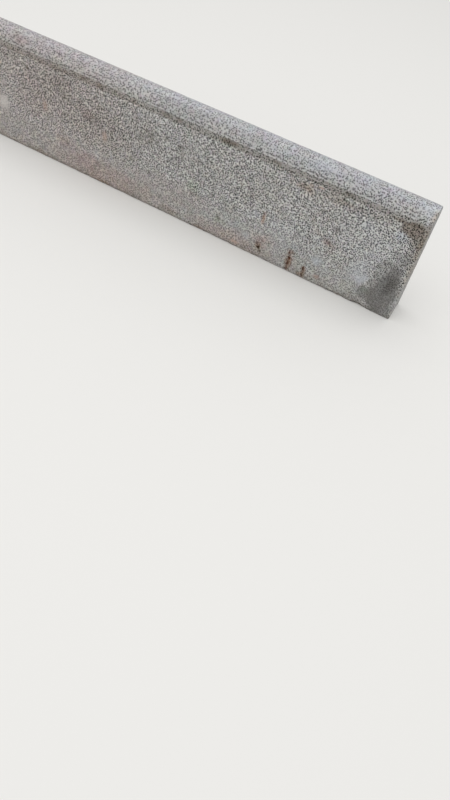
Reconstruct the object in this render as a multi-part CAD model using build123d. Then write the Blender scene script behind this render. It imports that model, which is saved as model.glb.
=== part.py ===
from build123d import *
import os

# Round-top edging kerb, a single piece of precast concrete, in millimetres.
# X runs along the kerb, Y goes through its thickness and Z is up, as it stands in a path edge.
# The origin is in the middle of the foot. The face at -Y is the show face.

# Driving sizes
kerb_length = 915      # from one butt end to the other
kerb_height = 200      # from the foot to the crown of the round top
kerb_thickness = 50    # from the show face to the back
crease_step = 0.6      # the round top stands in from each face by this much
crease_drop = 3        # the crease lies this far below the foot of the half round
foot_arris = 2         # radius of the two long edges of the foot
end_arris = 2          # radius of the edges round each butt end

# Sizes that follow from the driving ones
half_thickness = kerb_thickness / 2
nose_radius = half_thickness - crease_step
round_height = kerb_height - nose_radius
crease_height = round_height - crease_drop


def kerb_section():
    """The section across the kerb: straight faces, a fine crease on each, a half-round top."""
    back_foot = (half_thickness, 0)
    front_foot = (-half_thickness, 0)
    back_round = (nose_radius, round_height)
    front_round = (-nose_radius, round_height)
    with BuildSketch(Plane.YZ) as section:
        with BuildLine():
            # Down the back from the half round, out by the step, round the foot and up the show face
            Polyline(
                back_round,
                (nose_radius, crease_height),
                (half_thickness, crease_height),
                back_foot,
                front_foot,
                (-half_thickness, crease_height),
                (-nose_radius, crease_height),
                front_round,
            )
            ThreePointArc(front_round, (0, kerb_height), back_round)
        make_face()
        foot_corners = section.vertices().group_by(Axis.Y)[0]
        fillet(foot_corners, foot_arris)
    return section.sketch


def kerb_stone():
    """The whole kerb: its section along the length, with a small radius round each butt end."""
    kerb = extrude(kerb_section(), amount=kerb_length / 2, both=True)
    butt_ends = kerb.faces().filter_by(Axis.X)
    return fillet(butt_ends.edges(), end_arris)


os.makedirs("parts", exist_ok=True)
export_step(kerb_stone(), "parts/kerb_stone.step")
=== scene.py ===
# %% [markdown]
# Precast concrete edging kerb
#
# The real object is one bar of concrete. A damp mix was pressed into a steel mould, turned out and
# left to cure, so it has flat faces, a half-round top, and a crease where the two parts of the mould met.
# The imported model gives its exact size. This lesson models the skin of the kerb around that size:
# first the shape by hand, then the wear and pits, then the concrete itself with its stains.

# %% Load the frame
from math import pi, radians

import bmesh
import bpy
from mathutils import Matrix, Vector, noise


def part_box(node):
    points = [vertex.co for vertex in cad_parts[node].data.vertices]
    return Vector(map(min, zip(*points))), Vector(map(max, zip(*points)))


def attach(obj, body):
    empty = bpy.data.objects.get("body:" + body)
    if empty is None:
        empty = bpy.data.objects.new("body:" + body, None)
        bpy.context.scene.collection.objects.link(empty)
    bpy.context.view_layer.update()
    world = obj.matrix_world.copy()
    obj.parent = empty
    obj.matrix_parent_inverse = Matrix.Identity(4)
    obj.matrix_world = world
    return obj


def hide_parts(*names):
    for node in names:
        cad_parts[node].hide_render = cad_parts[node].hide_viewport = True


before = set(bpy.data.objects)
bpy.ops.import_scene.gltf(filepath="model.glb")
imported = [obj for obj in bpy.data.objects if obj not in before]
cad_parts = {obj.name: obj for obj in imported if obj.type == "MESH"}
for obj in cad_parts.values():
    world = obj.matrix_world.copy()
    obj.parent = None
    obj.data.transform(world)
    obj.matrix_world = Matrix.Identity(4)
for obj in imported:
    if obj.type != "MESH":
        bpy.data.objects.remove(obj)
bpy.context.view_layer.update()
bpy.ops.object.select_all(action="DESELECT")

# %% [markdown]
# Sizes
#
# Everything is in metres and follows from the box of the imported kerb. Only the fine sizes of the
# crease and the edges are written here. X runs along the kerb, Y through it and Z is up,
# and the face at the low end of Y is the show face.

# %% Sizes
MM = 0.001
LOW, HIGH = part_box("kerb_stone")
LENGTH, THICKNESS, HEIGHT = HIGH - LOW
CREASE_STEP = 0.6 * MM       # the round top stands in from each face by this much
CREASE_DROP = 3.0 * MM       # the crease lies this far below the foot of the half round
ARRIS = 2.0 * MM             # radius of the long edges of the foot and of the butt ends
NOSE = THICKNESS / 2 - CREASE_STEP
ROUND = HEIGHT - NOSE        # height of the foot of the half round
CREASE = ROUND - CREASE_DROP
NEAR = 0.01 * MM             # how close a point has to lie to count as being in a place
print(f"kerb {LENGTH / MM:.0f} x {THICKNESS / MM:.0f} x {HEIGHT / MM:.1f} mm")
print(f"crease at {CREASE / MM:.1f} mm")

# %% [markdown]
# Picking by place
#
# In the window a modeller clicks on faces and edges. In a script they are picked by where they lie.
# These helpers select what passes a test, make one point active, count, and say which way an edge runs.
# Each opens the mesh afresh, because an operator can leave an older handle on it stale.

# %% Picking by place
KINDS = {"verts": "VERT", "edges": "EDGE", "faces": "FACE"}
IN_LINE = 0.999              # an edge runs along an axis if this share of its length lies that way


def pick(kind, test):
    """Selects only the verts, edges or faces that pass the test, and returns how many did."""
    bpy.ops.mesh.select_all(action="DESELECT")
    bpy.ops.mesh.select_mode(type=KINDS[kind])
    mesh = bmesh.from_edit_mesh(bpy.context.object.data)
    found = [part for part in getattr(mesh, kind) if test(part)]
    for part in found:
        part.select_set(True)
    bmesh.update_edit_mesh(bpy.context.object.data)
    return len(found)


def make_active(rank):
    """Of the points that are selected, makes the one with the lowest rank the active one."""
    bpy.ops.mesh.select_mode(type="VERT")
    mesh = bmesh.from_edit_mesh(bpy.context.object.data)
    mesh.select_history.add(min((vert for vert in mesh.verts if vert.select), key=rank))
    bmesh.update_edit_mesh(bpy.context.object.data)


def count(kind, test=lambda part: True):
    """How many verts, edges or faces of the open mesh pass the test."""
    mesh = bmesh.from_edit_mesh(bpy.context.object.data)
    return sum(1 for part in getattr(mesh, kind) if test(part))


def runs(edge, axis):
    """True if the edge runs along that axis, 0 for X, 1 for Y and 2 for Z."""
    along = edge.verts[0].co - edge.verts[1].co
    return abs(along[axis]) > IN_LINE * along.length


# %% [markdown]
# The outline of a butt end
#
# A kerb of this kind is an outline pulled along a line. The outline could be a curve with a bevel,
# but a mesh circle keeps every point in hand. A circle stands at the left end, its lower half is
# cut off, and the two ends of the arch that is left are pulled down to the foot as straight legs.
# The circle is stretched a little so that the legs start flush with the faces: the crease comes later.

# %% The outline of a butt end
NOSE_STEPS = 36              # flats round the half-round top, about 2 mm each

bpy.ops.mesh.primitive_circle_add(
    vertices=2 * NOSE_STEPS, radius=NOSE, fill_type="NOTHING",
    location=(LOW.x, 0, ROUND), rotation=(pi / 2, 0, pi / 2))
kerb = bpy.context.object
kerb.name = "kerb"
bpy.ops.object.transform_apply(location=True, rotation=True, scale=True)
bpy.ops.object.mode_set(mode="EDIT")
bpy.ops.mesh.select_all(action="SELECT")
bpy.ops.transform.resize(value=(1, THICKNESS / 2 / NOSE, 1), center_override=(0, 0, 0))
bpy.ops.mesh.bisect(plane_co=(0, 0, ROUND - NEAR), plane_no=(0, 0, 1), clear_inner=True)
pick("verts", lambda vert: vert.co.z < ROUND + NEAR)
bpy.ops.mesh.extrude_region_move(TRANSFORM_OT_translate={"value": (0, 0, -ROUND)})
bpy.ops.mesh.edge_face_add()
bpy.ops.mesh.select_all(action="SELECT")
bpy.ops.mesh.edge_face_add()
on_foot = count("verts", lambda vert: abs(vert.co.z) < NEAR)
print("outline points", count("verts"), "of them on the foot", on_foot)

# %% [markdown]
# The bar
#
# The filled outline is pulled to the other end, which makes every long face at once. A box with two edges
# rounded would do as well, but its half round would have to be matched to the outline afterwards. The
# normals are then made to point outwards, because the pull started from a face that looked inwards.

# %% The bar
bpy.ops.mesh.extrude_region_move(TRANSFORM_OT_translate={"value": (LENGTH, 0, 0)})
bpy.ops.mesh.select_all(action="SELECT")
bpy.ops.mesh.normals_make_consistent(inside=False)
print("bar faces", count("faces"), "open edges", count("edges", lambda edge: not edge.is_manifold))

# %% [markdown]
# The arrises
#
# A mould has no knife edges, and the arris of a concrete unit is always a little round. A Bevel modifier
# usually finds its edges by their angle. Here they are picked by place: the outline of both butt ends and
# the two long edges of the foot, and not the other long edges, which are only steps of the round top.
# The bevel comes before the crease, whose small step would stop it.

# %% The arrises
ARRIS_STEPS = 3              # flats round an arris
QUARTER_ROUND = 0.5          # the profile that makes a bevel a quarter of a circle

arris_edges = pick("edges", lambda edge: not runs(edge, 0) or edge.verts[0].co.z < NEAR)
bpy.ops.mesh.bevel(
    offset=ARRIS, segments=ARRIS_STEPS, affect="EDGES", profile=QUARTER_ROUND, clamp_overlap=True)
print(arris_edges, "edges made round, faces with arrises", count("faces"))

# %% [markdown]
# An even grid
#
# Concrete is rough all over, and roughness needs points to move. The faces are divided into cells of
# about 2.3 mm: up the legs, across the foot and along the bar. A Subdivision modifier would also
# divide what is fine already, so the edges are picked by direction and length. The operator makes 100 cuts
# at most, so the length is cut in two goes. Bisect cuts add the lines of the crease and of the mould seam,
# and leave the butt ends out, apart from the one cut that parts their arch from the legs.

# %% An even grid
FACE_CUTS = 76               # up each face
FOOT_CUTS = 19               # across the foot
FIRST_CUTS = 3               # along the kerb, first in four
SECOND_CUTS = 99             # and then each quarter in a hundred
SEAM = ROUND + 5.5 * MM      # height of the fine seam of the mould, above the crease
SEAM_HALF = 0.9 * MM         # half the width of the seam
BUTT_FACING = 0.98           # a face whose normal has this much of X in it belongs to a butt end
# Each division: the axis that its edges run along, the length that they exceed, and the cuts in each edge
DIVISIONS = (
    (2, HEIGHT / 2, FACE_CUTS),
    (1, THICKNESS * 0.8, FOOT_CUTS),
    (0, LENGTH * 0.8, FIRST_CUTS),
    (0, LENGTH / 5, SECOND_CUTS),
)

bpy.ops.mesh.select_all(action="SELECT")
bpy.ops.mesh.bisect(plane_co=(0, 0, CREASE - CREASE_STEP), plane_no=(0, 0, 1))
for height in (CREASE, SEAM - SEAM_HALF, SEAM, SEAM + SEAM_HALF):
    pick("faces", lambda face: abs(face.normal.x) < BUTT_FACING)
    bpy.ops.mesh.bisect(plane_co=(0, 0, height), plane_no=(0, 0, 1))
for axis, exceeded, cuts in DIVISIONS:
    edges = pick("edges", lambda edge: runs(edge, axis) and edge.calc_length() > exceeded)
    bpy.ops.mesh.subdivide(number_cuts=cuts)
    print(edges, "edges, with", cuts, "cuts in each")
print("faces in the grid", count("faces"))

# %% [markdown]
# The butt ends
#
# The arch of each butt end is still one face with many corners, which can't carry any relief. A fan of
# triangles would crease as soon as it is pushed, so the face is taken out and filled with a grid. The
# grid fill starts from the active point, so the lowest front point of the opening is made active.

# %% The butt ends
ARCH_SPAN = FOOT_CUTS + 1    # cells across the arch, the same as across the foot
GRID_CORNERS = 4             # a face of the grid has this many

pick("faces", lambda face: len(face.verts) > GRID_CORNERS)
bpy.ops.mesh.delete(type="ONLY_FACE")
for side in (-1, 1):
    edges = pick("edges", lambda edge: edge.is_boundary and edge.verts[0].co.x * side > 0)
    make_active(lambda vert: (round(vert.co.z / NEAR), vert.co.y))
    bpy.ops.mesh.fill_grid(span=ARCH_SPAN)
    print("butt end", side, "edges round its arch", edges)

# %% [markdown]
# The crease and the seam of the mould
#
# The half-round part of the mould was a little narrower than the box below it, so the top stands in
# by about half a millimetre and the crease runs along both faces. It could be cut as a groove, but drawing
# in everything above it gives the real step and keeps the grid whole. A little paste was pressed into the
# joint of the mould as well, and stands out as a fine seam.

# %% The crease and the seam of the mould
SEAM_HEIGHT = 0.35 * MM      # how far the seam stands out of the round top

pick("verts", lambda vert: vert.co.z > CREASE - NEAR)
bpy.ops.transform.resize(value=(1, NOSE / (THICKNESS / 2), 1), center_override=(0, 0, 0))
pick("verts", lambda vert: abs(vert.co.z - SEAM) < NEAR)
bpy.ops.transform.resize(value=(1, 1 + SEAM_HEIGHT / NOSE, 1), center_override=(0, 0, 0))
bpy.ops.mesh.select_all(action="SELECT")
bpy.ops.mesh.normals_make_consistent(inside=False)
bpy.ops.object.mode_set(mode="OBJECT")
print("kerb faces", len(kerb.data.polygons))

# %% [markdown]
# Where the wear belongs
#
# The arrises have been knocked, the skin is most open high on the show face, and the joint of the mould
# left a rough band. A vertex group says where each of these belongs. Its weight, from 0 to 1, could be
# painted with a brush, but it is worked out from the place of each point, which is exact on all sides.

# %% Where the wear belongs
EDGE_ZONE = 5 * MM           # the wear of an arris reaches this far
KNOCK_PATCH = 40 * MM        # size of the patches that make it stronger and weaker
OPEN_HEIGHT = 90 * MM        # from this height up the skin is fully open
OPEN_FOOT = 0.35             # the share that is left of that at the foot
OPEN_TOP = 0.6               # on the round top
OPEN_BACK = 0.5              # and on the back
OPEN_PATCH = 60 * MM         # size of the patches where the skin is more and less open
OPEN_LEAST = 0.5             # the share that is left between these patches
BAND_REACH = 7 * MM          # the rough band fades out this far from its middle
BAND_PATCH = 15 * MM         # size of the patches that make it stronger and weaker


def near_arris(place):
    """From 0 to 1: how close a point is to an arris of the foot or of a butt end."""
    to_end = HIGH.x - abs(place.x)
    to_side = HIGH.y - abs(place.y)
    above = place.z - LOW.z
    distance = min(max(to_end, to_side), max(above, to_side), max(above, to_end))
    if place.z > ROUND:
        off_axis = Vector((0, place.y, place.z - ROUND)).length
        distance = to_end + NOSE - off_axis
    return min(1, max(0, 1 - distance / EDGE_ZONE))


def patchy(place, size):
    """From 0 to 1: soft patches of that size. The noise runs from -1 to 1, so a half is added to it."""
    return min(1, max(0, 0.5 + noise.noise(place / size)))


def knocked(place):
    """The arrises, more in some places than in others."""
    return near_arris(place) * patchy(place, KNOCK_PATCH)


def open_skin(place):
    """Where the skin is open: most of all high on the show face, and less below, on top and behind."""
    up = min(1, max(OPEN_FOOT, (place.z - LOW.z) / OPEN_HEIGHT))
    top = OPEN_TOP if place.z > SEAM else 1
    back = OPEN_BACK if place.y > 0 else 1
    return up * top * back * (OPEN_LEAST + (1 - OPEN_LEAST) * patchy(place, OPEN_PATCH))


def seam_zone(place):
    """The rough band between the crease and the seam of the mould."""
    middle = (CREASE + SEAM) / 2
    return max(0, 1 - abs(place.z - middle) / BAND_REACH) * patchy(place, BAND_PATCH)


for weight in (knocked, open_skin, seam_zone):
    reached = sum(1 for vert in kerb.data.vertices if weight(vert.co) > 0)
    print(weight.__name__, "reaches", reached, "points of", len(kerb.data.vertices))

# %% [markdown]
# Wear and pits
#
# The kerb left its mould with a sandy skin, small blow holes and slightly uneven faces, and has been
# knocked along its arrises since. This could be sculpted, but a Displace modifier with a procedural
# texture treats the whole kerb alike. White leaves a point where it is and black sinks it, so nothing
# grows past the kerb's size. Each modifier is applied before the next one is added.

# %% Wear and pits
# Each kind of wear: its texture, the size of its lumps, the noise levels that turn black and white,
# its greatest depth, and where it belongs
WEAR = {
    "uneven faces": ("CLOUDS", 90 * MM, 0.20, 0.80, 0.35 * MM, None),
    "sandy skin": ("CLOUDS", 5 * MM, 0.30, 0.70, 0.30 * MM, open_skin),
    "blow holes": ("VORONOI", 9 * MM, 0.10, 0.30, 1.00 * MM, open_skin),
    "rough seam": ("CLOUDS", 4 * MM, 0.35, 0.65, 0.70 * MM, seam_zone),
    "knocked arrises": ("CLOUDS", 9 * MM, 0.35, 0.60, 1.60 * MM, knocked),
}


def sink(texture, depth, weight):
    """Presses a texture into the kerb, by the depth at most, where the weight is 1 or there is none."""
    bpy.ops.object.modifier_add(type="DISPLACE")
    press = kerb.modifiers[-1]
    press.texture = texture
    press.texture_coords = "LOCAL"
    press.mid_level = 1
    press.strength = depth
    if weight:
        group = kerb.vertex_groups.new(name=weight.__name__)
        for vert in kerb.data.vertices:
            group.add([vert.index], weight(vert.co), "REPLACE")
        press.vertex_group = group.name
    bpy.ops.object.modifier_apply(modifier=press.name)
    print(f"{texture.name}: {depth / MM:.2f} mm deep")


def relief(name, kind, size, black, white):
    """A procedural texture with lumps of that size, black and white beyond the two levels given."""
    texture = bpy.data.textures.new(name, kind)
    texture.noise_scale = size
    texture.use_color_ramp = True
    for stop, level, shade in zip(texture.color_ramp.elements, (black, white), (0, 1)):
        stop.position = level
        stop.color = (shade, shade, shade, 1)
    return texture


for name, (kind, size, black, white, depth, weight) in WEAR.items():
    sink(relief(name, kind, size, black, white), depth, weight)
print("faces with wear", len(kerb.data.polygons))

# %% [markdown]
# A chisel for the chip
#
# The lower front arris has lost a piece near the right end. A broken edge could be painted, but it
# changes the outline, so it is cut, after the wear, which stays off the fresh break. The chisel is a
# ball, pulled long and roughened, because concrete breaks round its grains and never smoothly.

# %% A chisel for the chip
CHIP_PLACE = (401 * MM, LOW.y, LOW.z)
CHIP_HALF = (12 * MM, 4 * MM, 6 * MM)    # half the size of the ball, whose middle lies on the arris
CHIP_GRAIN = 5 * MM                      # size of the lumps that roughen the break
CHIP_LEVELS = (0.2, 0.8)                 # the noise levels that turn black and white
CHIP_ROUGH = 1.6 * MM                    # from the deepest hollow to the highest lump
BALL_STEPS = 4                           # 1 gives 20 faces, and each step more divides them in four

bpy.ops.mesh.primitive_ico_sphere_add(subdivisions=BALL_STEPS, radius=1, location=CHIP_PLACE)
chisel = bpy.context.object
chisel.scale = CHIP_HALF
bpy.ops.object.transform_apply(location=True, rotation=True, scale=True)
bpy.ops.object.modifier_add(type="DISPLACE")
roughen = chisel.modifiers[-1]
roughen.texture = relief("broken grains", "CLOUDS", CHIP_GRAIN, *CHIP_LEVELS)
roughen.texture_coords = "LOCAL"
roughen.strength = CHIP_ROUGH
bpy.ops.object.modifier_apply(modifier=roughen.name)
print("faces of the chisel", len(chisel.data.polygons))

# %% [markdown]
# The chip in the arris
#
# A Boolean modifier takes the chisel away from the kerb, and is applied. Its exact solver is used,
# because the fast one can fail where faces nearly touch, and here hundreds of small ones cross. Then the
# kerb gets smooth shading, so that the flats of the round top and of the arrises shade as one curve.

# %% The chip in the arris
SMOOTH_ANGLE = radians(40)   # faces that meet at less than this shade as one

bpy.ops.object.select_all(action="DESELECT")
bpy.context.view_layer.objects.active = kerb
kerb.select_set(True)
bpy.ops.object.modifier_add(type="BOOLEAN")
chip = kerb.modifiers[-1]
chip.object = chisel
chip.operation = "DIFFERENCE"
chip.solver = "EXACT"
bpy.ops.object.modifier_apply(modifier=chip.name)
bpy.data.objects.remove(chisel)
bpy.ops.object.shade_smooth_by_angle(angle=SMOOTH_ANGLE)
print("triangles with the chip", sum(len(face.vertices) - 2 for face in kerb.data.polygons))

# %% [markdown]
# Colours and nodes
#
# Colours are written as they look on a screen, in hex, and one function turns them to the linear light
# that the renderer works in. Nodes could be wired by hand in the editor, and one more function does the
# same in a line: it adds a node, sets it and links it. A Mix node has several sockets of the same name,
# so they are picked by number, and the numbers are named here once.

# %% Colours and nodes
VALUE_A, VALUE_B, VALUE_OUT = 2, 3, 0
COLOUR_A, COLOUR_B, COLOUR_OUT = 6, 7, 2


def linear(colour):
    """A hex colour as linear red, green, blue and alpha, by the sRGB curve."""
    parts = [int(colour[i:i + 2], 16) / 255 for i in (1, 3, 5)]
    return [p / 12.92 if p <= 0.04045 else ((p + 0.055) / 1.055) ** 2.4 for p in parts] + [1]


def add(tree, kind, feeds=None, **settings):
    """Adds a shader node. A feed is a value for one of its inputs, or the output that drives it."""
    made = tree.nodes.new("ShaderNode" + kind)
    for name, value in settings.items():
        setattr(made, name, value)
    for socket, feed in (feeds or {}).items():
        if isinstance(feed, bpy.types.NodeSocket):
            tree.links.new(feed, made.inputs[socket])
        else:
            made.inputs[socket].default_value = feed
    return made


concrete = bpy.data.materials.new("pressed precast concrete")
concrete.use_nodes = True
tree = concrete.node_tree
tree.nodes.clear()
place = add(tree, "TexCoord").outputs["Object"]
axes = add(tree, "SeparateXYZ", {"Vector": place}).outputs
print("mid grey #808080 is", round(linear("#808080")[0], 3), "in linear light")

# %% [markdown]
# Where on the kerb
#
# The same concrete looks different from zone to zone. The foot of the show face is tight and smooth,
# because the mix was pressed hardest there. Higher up the skin is open and coarse. The round top is
# finer, a fine seam runs along it, and the back lay against the smooth side of the mould. The zones could
# be painted, but a soft mask from 0 to 1, worked out from the coordinates, is as sharp up close as from
# afar. The seam runs along the long sides and stops at the butt ends.

# %% Where on the kerb
reach = add(tree, "Math", {0: axes["X"]}, operation="ABSOLUTE").outputs[0]
above_seam = add(tree, "Math", {0: axes["Z"], 1: SEAM + SEAM_HALF}, operation="SUBTRACT").outputs[0]
off_seam = add(tree, "Math", {0: above_seam}, operation="ABSOLUTE").outputs[0]
ZONES = {                    # the axis, and the places where the mask is 0 and where it is 1
    "up the face": (axes["Z"], 28 * MM, 92 * MM),
    "round top": (axes["Z"], ROUND - 2 * MM, ROUND + 8 * MM),
    "crown": (axes["Z"], ROUND + 10 * MM, HEIGHT),
    "seam": (off_seam, 1.4 * MM, 0.4 * MM),
    "back": (axes["Y"], -4 * MM, 20 * MM),
    "butt end": (reach, HIGH.x - 2.6 * MM, HIGH.x - 1.0 * MM),
    "towards the left": (axes["X"], 40 * MM, -160 * MM),
}

zone = {}
for name, (axis, empty, full) in ZONES.items():
    feeds = {"Value": axis, "From Min": empty, "From Max": full}
    zone[name] = add(tree, "MapRange", feeds, interpolation_type="SMOOTHSTEP").outputs["Result"]
long_sides = add(tree, "Math", {0: 1.0, 1: zone["butt end"]}, operation="SUBTRACT").outputs[0]
zone["seam"] = add(tree, "Math", {0: zone["seam"], 1: long_sides}, operation="MULTIPLY").outputs[0]
print("zones:", ", ".join(zone))

# %% [markdown]
# Grains and pores
#
# Concrete is sand and crushed stone held in grey cement paste. Up close the pressed skin is a field of
# pale grains with dark pores between them. A Noise texture has soft lumps of all sizes, where the real
# pores are small, dark and evenly spread, so a Voronoi texture is used: each cell is a patch of pale
# grains with one random tone, and holds a round pore of a random size. A little less than full
# randomness keeps the pores spread. The real spacing is about 1.5 mm, and it is drawn coarser, so that it
# still shows from where the camera stands.

# %% Grains and pores
PORE_SPACING = 2.577 * MM
PORE_SPREAD = 0.85                       # 0 is a strict lattice, 1 is chance
PORE_SMALL, PORE_LARGE = 0.38, 0.44      # radius of a pore, as a share of the spacing
PORE_RIM = 0.05                          # how far its edge blends, as a share of the spacing
PORE_SHADE = "#100E0C"
GRAIN_DARK, GRAIN_PALE = "#C3C2BF", "#E9E8E5"
GRAIN_TINT = 0.06                        # how much the hue varies from grain to grain

feeds = {"Vector": place, "Scale": 1 / PORE_SPACING, "Randomness": PORE_SPREAD}
cells = add(tree, "TexVoronoi", feeds, feature="F1").outputs
chance = add(tree, "SeparateColor", {"Color": cells["Color"]}).outputs
feeds = {"Value": chance["Red"], "To Min": PORE_SMALL, "To Max": PORE_LARGE}
radius = add(tree, "MapRange", feeds).outputs["Result"]
outside = add(tree, "Math", {0: cells["Distance"], 1: radius}, operation="SUBTRACT").outputs[0]
feeds = {"Value": outside, "From Min": -PORE_RIM, "From Max": PORE_RIM}
solid = add(tree, "MapRange", feeds).outputs["Result"]
feeds = {"Factor": chance["Green"], COLOUR_A: linear(GRAIN_DARK), COLOUR_B: linear(GRAIN_PALE)}
grain = add(tree, "Mix", feeds, data_type="RGBA").outputs[COLOUR_OUT]
feeds = {"Factor": GRAIN_TINT, COLOUR_A: grain, COLOUR_B: cells["Color"]}
grain = add(tree, "Mix", feeds, data_type="RGBA", blend_type="OVERLAY").outputs[COLOUR_OUT]
feeds = {"Factor": solid, COLOUR_A: linear(PORE_SHADE), COLOUR_B: grain}
grains = add(tree, "Mix", feeds, data_type="RGBA").outputs[COLOUR_OUT]
print(f"pores {PORE_SPACING / MM:.1f} mm apart, {2 * PORE_SMALL * PORE_SPACING / MM:.1f} mm wide and up")

# %% [markdown]
# Paste
#
# Where the skin is tight, cement paste lies over the grains. One flat grey would look like paint, so a
# noise moves it between two greys, in lumps as small as the sand under it.

# %% Paste
SAND = 1.1 * MM
PASTE_DARK, PASTE_LIGHT = "#9E9D9A", "#CCCBC8"
NOISE_LOW, NOISE_HIGH = 0.3, 0.7         # a Noise texture seldom goes past these levels

sand = add(tree, "TexNoise", {"Vector": place, "Scale": 1 / SAND, "Detail": 2.0}).outputs["Fac"]
feeds = {"Value": sand, "From Min": NOISE_LOW, "From Max": NOISE_HIGH}
sand_level = add(tree, "MapRange", feeds).outputs["Result"]
feeds = {"Factor": sand_level, COLOUR_A: linear(PASTE_DARK), COLOUR_B: linear(PASTE_LIGHT)}
paste = add(tree, "Mix", feeds, data_type="RGBA").outputs[COLOUR_OUT]
print("paste from", PASTE_DARK, "to", PASTE_LIGHT)

# %% [markdown]
# How open the skin is
#
# One number from 0 to 1 says how much of the grains shows through the paste. Two materials side by side
# would meet in a hard line, and a number can fade as the real skin does. It starts from the height on the
# face, gives way to a value of its own on the other zones, and drifts in soft clouds half a hand wide.

# %% How open the skin is
LOW_OPEN, HIGH_OPEN = 0.60, 1.0          # at the foot of the show face, and high on it
OPEN_ZONES = {"round top": 0.74, "crown": 0.62, "seam": 0.65, "back": 0.38, "butt end": 0.6}
CLOUD = 45 * MM
CLOUD_LOW, CLOUD_HIGH = 0.85, 1.12       # the number is multiplied by this, and kept to 1 at most

openness = add(tree, "Mix", {"Factor": zone["up the face"], VALUE_A: LOW_OPEN, VALUE_B: HIGH_OPEN})
for name, level in OPEN_ZONES.items():
    feeds = {"Factor": zone[name], VALUE_A: openness.outputs[VALUE_OUT], VALUE_B: level}
    openness = add(tree, "Mix", feeds)
clouds = add(tree, "TexNoise", {"Vector": place, "Scale": 1 / CLOUD, "Detail": 4.0, "Roughness": 0.6})
feeds = {
    "Value": clouds.outputs["Fac"], "From Min": NOISE_LOW, "From Max": NOISE_HIGH,
    "To Min": CLOUD_LOW, "To Max": CLOUD_HIGH}
drift = add(tree, "MapRange", feeds).outputs["Result"]
feeds = {0: openness.outputs[VALUE_OUT], 1: drift}
openness = add(tree, "Math", feeds, operation="MULTIPLY", use_clamp=True).outputs[0]
skin = add(tree, "Mix", {"Factor": openness, COLOUR_A: paste, COLOUR_B: grains}, data_type="RGBA")
skin = skin.outputs[COLOUR_OUT]
print("open skin: low", LOW_OPEN, "high", HIGH_OPEN)

# %% [markdown]
# Weathering, and a painted highlight on the seam
#
# The kerb has stood outdoors. Its left half has taken a faint warm brown, and its round top is a little
# cooler. The hue could be built into the grains, but each of these is a thin film over the concrete, so it
# is multiplied: the hex value is the colour that the film gives to white. The seam stands out, and a
# painted highlight along its crest covers what is below, so it is mixed in, on the grains and not in the
# pores.

# %% Weathering, and a painted highlight on the seam
ZONE_FILMS = {"towards the left": "#FFF9F7", "round top": "#FAFBFD", "crown": "#F9FAFF"}
# the colour of the painted highlight along the crest of the seam
SEAM_HIGHLIGHT = "#F2F1EE"
SEAM_HIGHLIGHT_SHARE = 0.2              # the share of the painted highlight, at most

for name, film in ZONE_FILMS.items():
    feeds = {"Factor": zone[name], COLOUR_A: skin, COLOUR_B: linear(film)}
    skin = add(tree, "Mix", feeds, data_type="RGBA", blend_type="MULTIPLY").outputs[COLOUR_OUT]
# the painted highlight lies on the grains of the seam, not in its pores
lit_seam_grains = add(tree, "Math", {0: zone["seam"], 1: solid}, operation="MULTIPLY").outputs[0]
seam_highlight = add(tree, "Math", {0: lit_seam_grains, 1: SEAM_HIGHLIGHT_SHARE}, operation="MULTIPLY").outputs[0]
feeds = {"Factor": seam_highlight, COLOUR_A: skin, COLOUR_B: linear(SEAM_HIGHLIGHT)}
skin = add(tree, "Mix", feeds, data_type="RGBA").outputs[COLOUR_OUT]
print("films over zones:", ", ".join(ZONE_FILMS))

# %% [markdown]
# Patches
#
# Weathered concrete is never of one hue. The whole skin has soft patches of pink, grey and green at the
# size of a fingertip. They come from the colour of a Noise texture, laid over the skin so that its own
# tone stays. On the smooth back, earth and lime settled in patches as large as a hand. These are two
# films at the two ends of one noise, and not two noises, so that they never lie on each other.

# %% Patches
PATCH = 14 * MM
PATCH_TINT = 0.10
BACK_PATCH = 80 * MM
BACK_FILMS = {               # the noise levels where the film is thin and where it is thick
    "#F3E8E0": (0.50, 0.34),
    "#F4F4F9": (0.50, 0.66),
}

patches = add(tree, "TexNoise", {"Vector": place, "Scale": 1 / PATCH, "Detail": 2.0}).outputs["Color"]
feeds = {"Factor": PATCH_TINT, COLOUR_A: skin, COLOUR_B: patches}
skin = add(tree, "Mix", feeds, data_type="RGBA", blend_type="OVERLAY").outputs[COLOUR_OUT]
feeds = {"Vector": place, "Scale": 1 / BACK_PATCH, "Detail": 5.0, "Roughness": 0.6}
settled = add(tree, "TexNoise", feeds).outputs["Fac"]
for film, (thin, thick) in BACK_FILMS.items():
    feeds = {"Value": settled, "From Min": thin, "From Max": thick}
    share = add(tree, "MapRange", feeds).outputs["Result"]
    share = add(tree, "Math", {0: share, 1: zone["back"]}, operation="MULTIPLY").outputs[0]
    feeds = {"Factor": share, COLOUR_A: skin, COLOUR_B: linear(film)}
    skin = add(tree, "Mix", feeds, data_type="RGBA", blend_type="MULTIPLY").outputs[COLOUR_OUT]
print(f"patches of {PATCH / MM:.0f} mm, and {len(BACK_FILMS)} films on the back")
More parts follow.
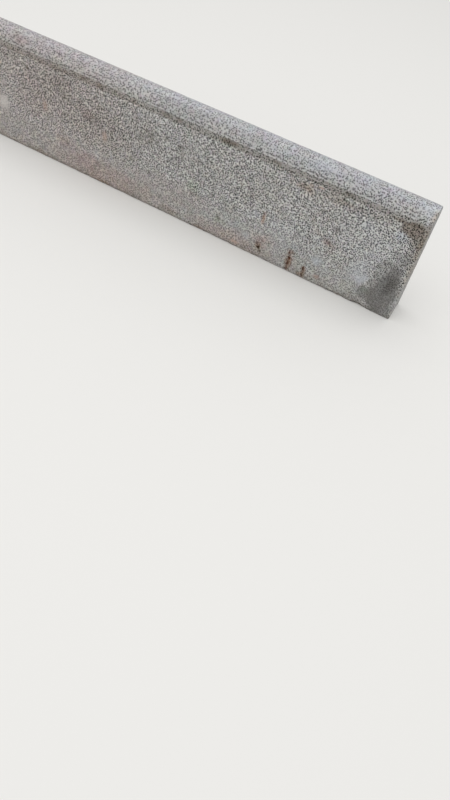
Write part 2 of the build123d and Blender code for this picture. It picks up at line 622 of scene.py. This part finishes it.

# %% [markdown]
# Dirt and painted shade by height
#
# Water runs down the kerb and leaves dirt where it is held up: in the crease under the round top, and at
# the foot, where the kerb touched what it stood on. The films there are painted shade as well as dirt, and
# the thin dark lines beside the seam of the mould and the darker lower part of the round top are painted
# shade. Each line could be a mask of its own, but one ColorRamp over the height holds them all. Noise drawn
# long along the kerb makes the film thick in some places and thin in others. The butt ends have no crease,
# so the film stays off them.

# %% Dirt and painted shade by height
HEIGHT_FILMS = {             # height in mm and the film there, painted shade as well as dirt
    0: "#CCC6BE", 4: "#EEEBE8", 12: "#FDFCFB", 30: "#FFFFFF", 168: "#FFFFFF", 170: "#F4F2EF",
    171.8: "#CFCBC6", 173: "#D4D1CD", 176: "#D5D2CE", 178: "#D9D6D3", 179.9: "#CAC7C3",
    180.6: "#FFFFFF", 182.3: "#F4F3F2", 183: "#D1D0D0", 186: "#FFFFFF", 188: "#F5F4F4",
    194: "#EFEEEE", 199: "#FFFFFF"}
SHADE_AND_DIRT_LENGTH, SHADE_AND_DIRT_HEIGHT = 50 * MM, 6 * MM       # size of the noise along the kerb and up it
THIN_LEVEL, THICK_LEVEL = 0.35, 0.6              # its levels where the film is thin and thick
THIN_SHARE, THICK_SHARE = 0.75, 1.12             # how much of the film is there, and over 1 counts as 1

share_up = add(tree, "Math", {0: axes["Z"], 1: HEIGHT}, operation="DIVIDE").outputs[0]
films = add(tree, "ValToRGB", {"Fac": share_up})
while len(films.color_ramp.elements) < len(HEIGHT_FILMS):
    films.color_ramp.elements.new(0.5)           # the next loop gives each stop its place
for stop, (up, film) in zip(films.color_ramp.elements, HEIGHT_FILMS.items()):
    stop.position = up * MM / HEIGHT
    stop.color = linear(film)
# Noise drawn long makes the painted shade and the dirt thick in places and thin in others
feeds = {"Vector": place, "Scale": (1 / SHADE_AND_DIRT_LENGTH, 1 / SHADE_AND_DIRT_LENGTH, 1 / SHADE_AND_DIRT_HEIGHT)}
streaked = add(tree, "Mapping", feeds)
feeds = {"Vector": streaked.outputs["Vector"], "Scale": 1.0, "Detail": 4.0, "Roughness": 0.65}
shade_and_dirt = add(tree, "TexNoise", feeds)
feeds = {
    "Value": shade_and_dirt.outputs["Fac"], "From Min": THIN_LEVEL, "From Max": THICK_LEVEL,
    "To Min": THIN_SHARE, "To Max": THICK_SHARE}
thickness = add(tree, "MapRange", feeds).outputs["Result"]
shade_and_dirt_share = add(tree, "Math", {0: thickness, 1: long_sides}, operation="MULTIPLY").outputs[0]
# the painted shade and dirt darken the long sides by the film at each height
feeds = {"Factor": shade_and_dirt_share, COLOUR_A: skin, COLOUR_B: films.outputs["Color"]}
skin = add(tree, "Mix", feeds, data_type="RGBA", blend_type="MULTIPLY").outputs[COLOUR_OUT]
print("dirt films at", len(HEIGHT_FILMS), "heights")

# %% [markdown]
# Ragged edges
#
# No stain on concrete has a clean outline. The outline could be drawn point by point, but it is enough
# to shake the coordinates with noise before a stain reads them: fine for a small mark, broad for a haze.
# The noise is centred on 0 first, so that nothing drifts aside, and through the kerb it isn't shaken.

# %% Ragged edges
RAGGED = {                   # size of the lumps, and how far they shake a place
    "fine": (4 * MM, 7 * MM),
    "broad": (20 * MM, 24 * MM),
}

shaken = {}
for name, (size, far) in RAGGED.items():
    lumps = add(tree, "TexNoise", {"Vector": place, "Scale": 1 / size, "Detail": 3.0}).outputs["Color"]
    centred = add(tree, "VectorMath", {0: lumps, 1: (0.5, 0.5, 0.5)}, operation="SUBTRACT").outputs[0]
    feeds = {0: centred, 1: (far, 0, far), 2: place}
    shaken[name] = add(tree, "VectorMath", feeds, operation="MULTIPLY_ADD").outputs[0]
print("ragged edges:", ", ".join(shaken))

# %% [markdown]
# Stains
#
# Every stain of the real kerb has its own place: rust run down from bits of iron, brown earth along the
# foot and a damp wedge at the low right corner. Painted shade with dirt lies in the crease, and a painted
# shadow along the foot under the chip. They could be painted on a picture, but each is an ellipse on the
# face, whose place and size can be changed. A Mapping node moves, turns and stretches the coordinates
# until the ellipse is a ball of radius 1, and a spherical Gradient, from 0 at its rim to 1 in its middle,
# is the mask. Where two of one kind meet, the stronger one counts.

# %% Stains
STAIN_DEPTH = 30 * MM        # how far round the top and the ends a stain of the show face reaches
# Each kind has its film, how it lies on the concrete, its edge, and the share of its radius that fades out.
# Then its places in mm, along X and up Z, its half width and half height in mm,
# its turn in degrees, clockwise as the show face is seen, and its strength.
STAINS = {
    "lime bloom": ("#D3D7DE", "MIX", "broad", 0.9, [
        (382, 66, 26, 44, 10, 0.32), (391, 52, 16, 22, 15, 0.65), (312, 43, 13, 11, 0, 0.6),
        (390, 98, 16, 14, 0, 0.35), (372, 141, 14, 12, 0, 0.35), (394, 110, 90, 62, 0, 0.14),
        (277, 198, 28, 16, 0, 0.45), (446, 196, 18, 12, 0, 0.6), (240, 66, 60, 34, 0, 0.1),
        (184, 32, 12, 13, 0, 0.3), (194, 81, 13, 11, 0, 0.3), (-125, 51, 4, 16, 0, 0.3),
        (-93, 65, 4, 16, 0, 0.4)]),
    "pale skin": ("#DDD8D3", "MIX", "broad", 0.9, [
        (-334, 72, 21, 24, 0, 0.85), (-380, 60, 60, 60, 0, 0.18), (-175, 31, 12, 12, 0, 0.3)]),
    "cool haze": ("#F3F8FF", "MULTIPLY", "broad", 1.0, [
        (426, 146, 20, 16, 0, 1.0), (290, 190, 170, 14, 0, 0.45)]),
    "lilac haze": ("#F7EEF4", "MULTIPLY", "broad", 1.0, [
        (-165, 206, 74, 16, 0, 0.9), (-160, 34, 60, 24, 0, 0.7), (-50, 6, 24, 12, 0, 0.4)]),
    "green bloom": ("#F0F8EE", "MULTIPLY", "broad", 0.9, [
        (75, 78, 16, 14, 0, 1.0), (403, 31, 14, 12, 0, 1.0), (128, 36, 14, 10, 0, 0.9),
        (228, 188, 12, 8, 0, 0.8), (-90, 174, 16, 5, 0, 0.9), (122, 170, 16, 5, 0, 0.9)]),
    "shade": ("#E4E1DE", "MULTIPLY", "broad", 1.0, [
        (-120, 110, 150, 74, 0, 0.8), (70, 120, 90, 50, 0, 0.4), (180, 140, 120, 40, 0, 0.25),
        (-206, 149, 66, 38, 0, 1.0), (-26, 126, 50, 36, 0, 0.9), (168, 197, 20, 14, 0, 0.8),
        (78, 64, 16, 14, 0, 0.9), (350, 162, 110, 11, 0, 1.0), (284, 153, 16, 12, 0, 0.9),
        (60, 193, 120, 15, 0, 0.5), (-305, 161, 30, 16, 0, 0.9), (177, 106, 30, 22, 0, 0.8),
        (78, 24, 16, 14, 0, 0.9), (-62, 73, 18, 16, 0, 0.9), (-48, 146, 18, 14, 0, 0.9),
        (142, 68, 18, 16, 0, 0.9), (30, 183, 18, 7, 0, 0.9)]),
    "pink earth": ("#FBE9E3", "MULTIPLY", "broad", 0.8, [
        (-90, 20, 190, 36, 0, 0.55), (150, 14, 110, 26, 0, 0.65), (30, 48, 110, 34, 0, 0.35),
        (214, 36, 26, 24, 0, 0.7), (-196, 50, 24, 18, 0, 0.5)]),
    "brown earth": ("#DCCBBC", "MULTIPLY", "broad", 0.9, [
        (212, 10, 34, 12, 0, 0.2), (314, 160, 44, 11, 0, 0.35), (264, 158, 22, 13, 0, 0.85),
        (268, 20, 34, 24, 0, 0.2), (-110, 5, 24, 6, 0, 0.6),
        (30, 10, 24, 8, 0, 0.45), (92, 4, 18, 6, 0, 0.7), (-250, 5, 30, 6, 0, 0.4),
        (330, 10, 40, 8, 0, 0.2), (364, 3, 18, 5, 0, 0.6)]),
    "brown grey": ("#BCB2A9", "MULTIPLY", "broad", 0.5, [
        (438, 163, 25, 16, 0, 0.95), (449, 153, 12, 22, 0, 0.8), (449, 126, 8, 16, 0, 0.3)]),
    "tan arris": ("#F3E8DB", "MULTIPLY", "fine", 0.7, [
        (457, 150, 9, 60, 0, 0.6), (457, 92, 8, 34, 0, 0.6), (457, 192, 9, 14, 0, 0.8)]),
    "purple brown": ("#DFD1CF", "MULTIPLY", "broad", 0.9, [
        (322, 84, 20, 11, 0, 1.0), (320, 15, 9, 8, 0, 0.8), (-145, 116, 20, 18, 0, 0.6),
        (-288, 192, 34, 9, 0, 0.6), (217, 36, 7, 6, 0, 0.6), (-255, 115, 80, 70, 0, 0.35)]),
    "orange pink": ("#CBB3A5", "MIX", "fine", 0.9, [
        (-108, 92, 8, 16, 0, 0.7), (-236, 99, 8, 15, 0, 0.6), (208, 75, 5, 18, 6, 0.55),
        (287, 168, 7, 3, 0, 0.8), (271, 166, 6, 3, 0, 0.4), (320, 16, 8, 6, 0, 0.5),
        (164, 9, 15, 5, 0, 0.9)]),
    "rust halo": ("#D2B49F", "MULTIPLY", "fine", 0.8, [
        (267, 20, 9, 26, 0, 0.9), (268, 39, 11, 9, 0, 0.6), (296, 13, 7, 20, 0, 0.8),
        (290, 6, 9, 6, 0, 0.7), (208, 24, 9, 13, -20, 0.7), (207, 78, 5, 15, 4, 0.65)]),
    "rust": ("#8C6B5A", "MULTIPLY", "fine", 0.65, [
        (265, 37, 3.4, 4.4, 20, 0.95), (267, 27, 3.4, 5.6, -10, 1.0), (266, 17, 3.0, 6.5, 5, 0.95),
        (266, 5, 2.8, 7, 0, 0.8), (271, 40, 3, 2.4, 30, 0.4), (295, 20, 2.8, 7.5, 5, 1.0),
        (295, 8, 2.3, 8, 0, 0.65), (296, 31, 2.0, 4, 0, 0.5)]),
    "dark growth": ("#75665A", "MULTIPLY", "fine", 0.7, [
        (206, 27, 3.0, 5.4, -25, 0.5), (209, 20, 4.0, 5.4, -25, 1.0), (213, 14, 3.0, 3.6, -25, 0.8),
        (-268, 152, 6, 3, 30, 0.8)]),
    # painted shade with dirt in the crease, and at the foot by the chip a painted shadow
    "crease dirt": ("#B5AA9E", "MULTIPLY", "fine", 0.8, [
        (35, 176, 10, 5, 0, 0.7), (126, 176, 26, 5.5, 0, 0.85), (10, 176, 16, 5, 0, 0.5),
        (-152, 176, 10, 5, 0, 0.7), (-118, 175, 11, 4, 0, 0.6), (-50, 176, 9, 5, 0, 0.4),
        (210, 176, 11, 5, 0, 0.6), (330, 176, 14, 5, 0, 0.6), (415, 171, 20, 5, 0, 0.6),
        (400, 1, 26, 3, 0, 0.8)]),
    "dark pores": ("#9A948E", "MULTIPLY", "fine", 1.0, [
        (15, 138, 8, 7, 0, 0.8), (40, 133, 10, 6, 0, 0.7), (-14, 131, 9, 8, 0, 0.5),
        (-15, 62, 7, 6, 0, 0.7), (110, 76, 7, 6, 0, 0.7), (127, 41, 8, 6, 0, 0.7),
        (329, 114, 10, 7, 0, 0.8), (302, 134, 8, 6, 0, 0.7), (-187, 132, 16, 13, 0, 0.3),
        (28, 144, 12, 8, 0, 0.35), (148, 98, 14, 12, 0, 0.3)]),
    "damp": ("#686663", "MIX", "broad", 0.35, [
        (432, 48, 23, 64, 4, 0.7), (425, 27, 24, 26, 0, 0.7), (437, 9, 24, 25, 0, 0.55),
        (404, 27, 17, 14, 0, 0.5), (419, 80, 13, 24, 10, 0.4), (381, 8, 24, 11, 0, 0.25),
        (411, 52, 10, 12, 20, 0.4), (445, 114, 10, 18, 0, 0.3)]),
    "damp core": ("#D4D3D2", "MULTIPLY", "broad", 0.8, [
        (435, 62, 14, 34, 4, 1.0), (446, 105, 12, 26, 0, 0.5), (434, 118, 15, 12, 0, 0.8)]),
}

for kind, (film, blend, edge, fade, places) in STAINS.items():
    mask = 0.0
    for along, up, half_width, half_height, turn, strength in places:
        feeds = {
            "Vector": shaken[edge], "Location": (along * MM, LOW.y, up * MM),
            "Rotation": (0, radians(turn), 0), "Scale": (half_width * MM, STAIN_DEPTH, half_height * MM)}
        ball = add(tree, "Mapping", feeds, vector_type="TEXTURE")
        inwards = add(tree, "TexGradient", {"Vector": ball.outputs["Vector"]}, gradient_type="SPHERICAL")
        feeds = {"Value": inwards.outputs["Fac"], "From Max": fade, "To Max": strength}
        spot = add(tree, "MapRange", feeds, interpolation_type="SMOOTHSTEP").outputs["Result"]
        mask = add(tree, "Math", {0: spot, 1: mask}, operation="MAXIMUM").outputs[0]
    feeds = {"Factor": mask, COLOUR_A: skin, COLOUR_B: linear(film)}
    skin = add(tree, "Mix", feeds, data_type="RGBA", blend_type=blend).outputs[COLOUR_OUT]
    print(f"{kind}: {len(places)} places")

# %% [markdown]
# Fine relief and the shader
#
# The pores are finer than the mesh, and cutting each one would take millions of faces, so they are a
# bump: the grains stand up and the pores are pits. Cured concrete is matt, with a typical IOR of about
# 1.5 and almost no gloss, so the roughness is high.

# %% Fine relief and the shader
PORE_DEPTH = 0.5 * MM
BUMP_STRENGTH = 0.6          # 1 would be the full depth
ROUGHNESS = 0.92
CONCRETE_IOR = 1.5
GLOSS = 0.3                  # the specular level, where 0.5 would leave the gloss that the IOR gives

feeds = {"Height": solid, "Strength": BUMP_STRENGTH, "Distance": PORE_DEPTH}
bump = add(tree, "Bump", feeds).outputs["Normal"]
feeds = {
    "Base Color": skin, "Roughness": ROUGHNESS, "IOR": CONCRETE_IOR, "Specular IOR Level": GLOSS,
    "Normal": bump}
shader = add(tree, "BsdfPrincipled", feeds)
add(tree, "OutputMaterial", {"Surface": shader.outputs["BSDF"]})
kerb.data.materials.clear()
kerb.data.materials.append(concrete)
print("concrete nodes", len(tree.nodes))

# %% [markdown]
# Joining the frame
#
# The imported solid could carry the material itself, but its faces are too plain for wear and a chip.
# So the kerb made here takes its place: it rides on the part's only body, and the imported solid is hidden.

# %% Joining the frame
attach(kerb, "root")
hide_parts("kerb_stone")
print(kerb.name, "stands for kerb_stone, with", len(kerb.data.polygons), "faces")

# %% [markdown]
# The floor
#
# A wide plain floor. A pale floor throws a lot of light back up, and would wash out the foot of the
# standing face. So it is pale to the eye, also off a gloss or through glass, and a mid grey to the light.
# The Light Path node tells the rays that look from the rays that light.

# %% The floor
FLOOR_SEEN = "#EDECE9"       # what the eye sees
FLOOR_LIT = "#B4B3B0"        # what the light meets
FLOOR_SIZE = 60              # in metres, so wide that its edge is lost in the distance


def looking(tree):
    """1 for a ray from the camera, off a gloss or through glass, and 0 for a ray that lights."""
    rays = add(tree, "LightPath").outputs
    feeds = {0: rays["Is Camera Ray"], 1: rays["Is Glossy Ray"]}
    looks = add(tree, "Math", feeds, operation="MAXIMUM").outputs[0]
    feeds = {0: looks, 1: rays["Is Transmission Ray"]}
    return add(tree, "Math", feeds, operation="MAXIMUM").outputs[0]


bpy.ops.mesh.primitive_plane_add(size=FLOOR_SIZE, location=(0, 0, 0))
floor = bpy.context.object
floor.name = "floor"
plaster = bpy.data.materials.new("pale floor")
plaster.use_nodes = True
floor_tree = plaster.node_tree
floor_tree.nodes.clear()
feeds = {"Factor": looking(floor_tree), COLOUR_A: linear(FLOOR_LIT), COLOUR_B: linear(FLOOR_SEEN)}
floor_colour = add(floor_tree, "Mix", feeds, data_type="RGBA").outputs[COLOUR_OUT]
matt = add(floor_tree, "BsdfDiffuse", {"Color": floor_colour})
add(floor_tree, "OutputMaterial", {"Surface": matt.outputs["BSDF"]})
floor.data.materials.append(plaster)
print("floor seen as", FLOOR_SEEN, "and lit as", FLOOR_LIT)

# %% [markdown]
# The light
#
# An overcast sky: a large soft lamp overhead, and an even light from all round. A sun would throw hard
# shadows, and an overcast day has none. A face that looks up gets about 1 of light, so its colour renders
# as it is written, and a standing face gets a little over half.

# %% The light
SKY_LIT = "#E1E1E1"          # what the sky gives the kerb, about 0.75 of white in linear light
SKY_SEEN = "#D0D0CD"         # what the eye sees of it: as pale as the far floor, so no horizon shows
LAMP_PLACE = (0, -0.4, 2.5)  # overhead, a little towards the side of the show face
LAMP_SIZE = 3.0              # in metres
LAMP_POWER = 24              # in watts

bpy.ops.object.light_add(type="AREA", location=LAMP_PLACE)
lamp = bpy.context.object
lamp.data.shape = "SQUARE"
lamp.data.size = LAMP_SIZE
lamp.data.energy = LAMP_POWER
world = bpy.data.worlds.new("sky")
bpy.context.scene.world = world
world.use_nodes = True
sky_tree = world.node_tree
sky_tree.nodes.clear()
feeds = {"Factor": looking(sky_tree), COLOUR_A: linear(SKY_LIT), COLOUR_B: linear(SKY_SEEN)}
sky_colour = add(sky_tree, "Mix", feeds, data_type="RGBA").outputs[COLOUR_OUT]
sky = add(sky_tree, "Background", {"Color": sky_colour, "Strength": 1.0})
add(sky_tree, "OutputWorld", {"Surface": sky.outputs["Background"]})
print("lamp", LAMP_SIZE, "m wide at", LAMP_POWER, "W, sky", SKY_LIT)

# %% [markdown]
# The camera
#
# The viewer stands at the right end and looks down along the kerb, with the camera held a little askew.
# It could be aimed with a constraint, but a fixed turn worked out from two points needs no helper object.
# The track turn keeps the camera level, and the roll is added about its own line of sight.

# %% The camera
CAMERA_PLACE = Vector((0.5161, -0.8587, 0.6760))
CAMERA_AIM = Vector((0.3238, -0.3313, 0.0))      # where its line of sight meets the floor
CAMERA_ROLL = radians(12.79)
CAMERA_LENS = 28.55                              # focal length in millimetres

bpy.ops.object.camera_add(location=CAMERA_PLACE)
camera = bpy.context.object
level_turn = (CAMERA_AIM - CAMERA_PLACE).to_track_quat("-Z", "Y").to_matrix()
camera.rotation_euler = (level_turn @ Matrix.Rotation(CAMERA_ROLL, 3, "Z")).to_euler()
camera.data.lens = CAMERA_LENS
bpy.context.scene.camera = camera
bpy.context.scene.view_settings.view_transform = "Standard"
print(f"camera {(CAMERA_AIM - CAMERA_PLACE).length:.2f} m from where it aims")

# %% [markdown]
# The size of the finished kerb
#
# Wear only takes material away, so the finished kerb has to lie inside the box of the imported one. Here
# the scene is brought up to date.

# %% The size of the finished kerb
bpy.context.view_layer.update()
